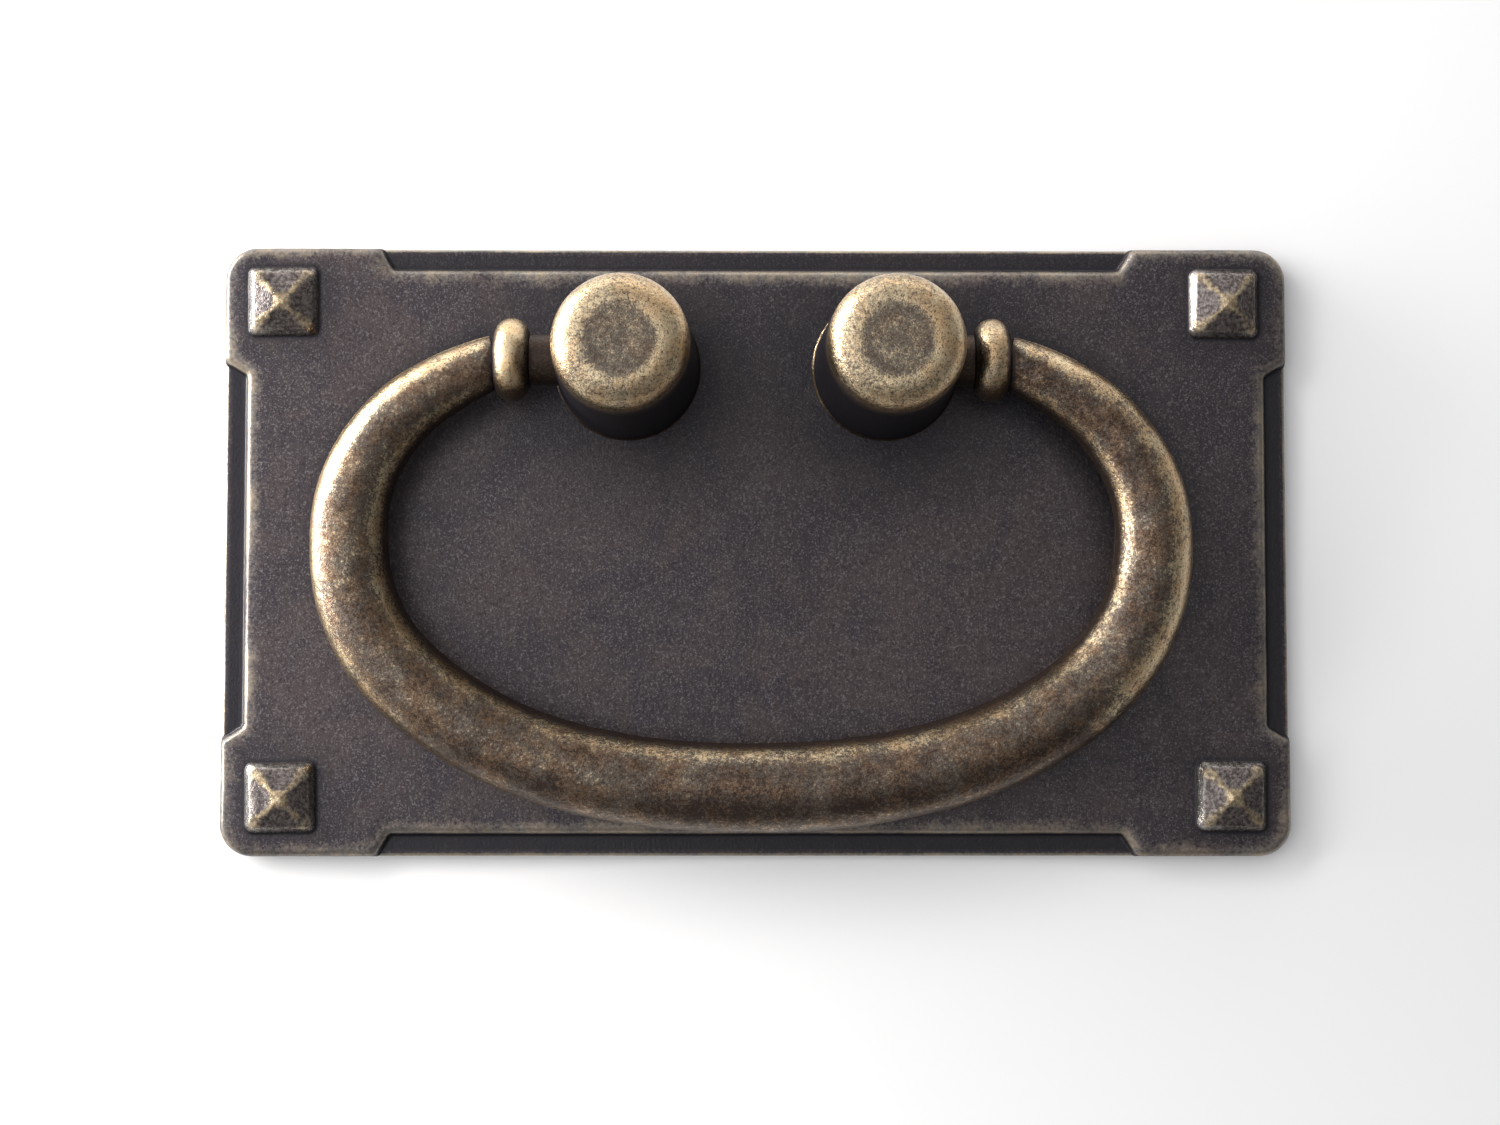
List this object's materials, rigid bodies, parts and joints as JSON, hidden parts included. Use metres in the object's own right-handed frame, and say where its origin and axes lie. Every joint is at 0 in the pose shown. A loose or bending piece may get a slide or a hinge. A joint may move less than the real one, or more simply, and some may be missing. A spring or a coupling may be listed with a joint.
{
  "type": "bail drawer pull",
  "caption": "Antique-finish bail pull: rectangular cast backplate with raised corners and pyramid studs, round posts and a swinging oval-section bail.",
  "frame": {"origin": "middle of the plate's back face, which lies against the drawer front", "axes": "+Z out of the drawer front, +X along the plate's long side, +Y up the drawer front towards the posts' edge; the pull lies on its back"},
  "size_m": [0.105, 0.06, 0.023],
  "materials": {
    "dark_bronze": "dark antique bronze patina on cast metal, semi-gloss, edges and stud ridges rubbed lighter",
    "rubbed_brass": "antique brass, finely speckled patina, rubbed bright on the high places, brown in the low ones"
  },
  "bodies": {
    "plate": {"backplate": "dark_bronze", "left_post": "rubbed_brass", "right_post": "rubbed_brass"},
    "bail": {"bail": "rubbed_brass"}
  },
  "joints": [
    {"name": "bail_swing", "type": "hinge", "parent": "plate", "child": "bail", "pos_m": [0, 0.018, 0.0086], "axis": [-1, 0, 0], "range_deg": [0, 188]}
  ]
}
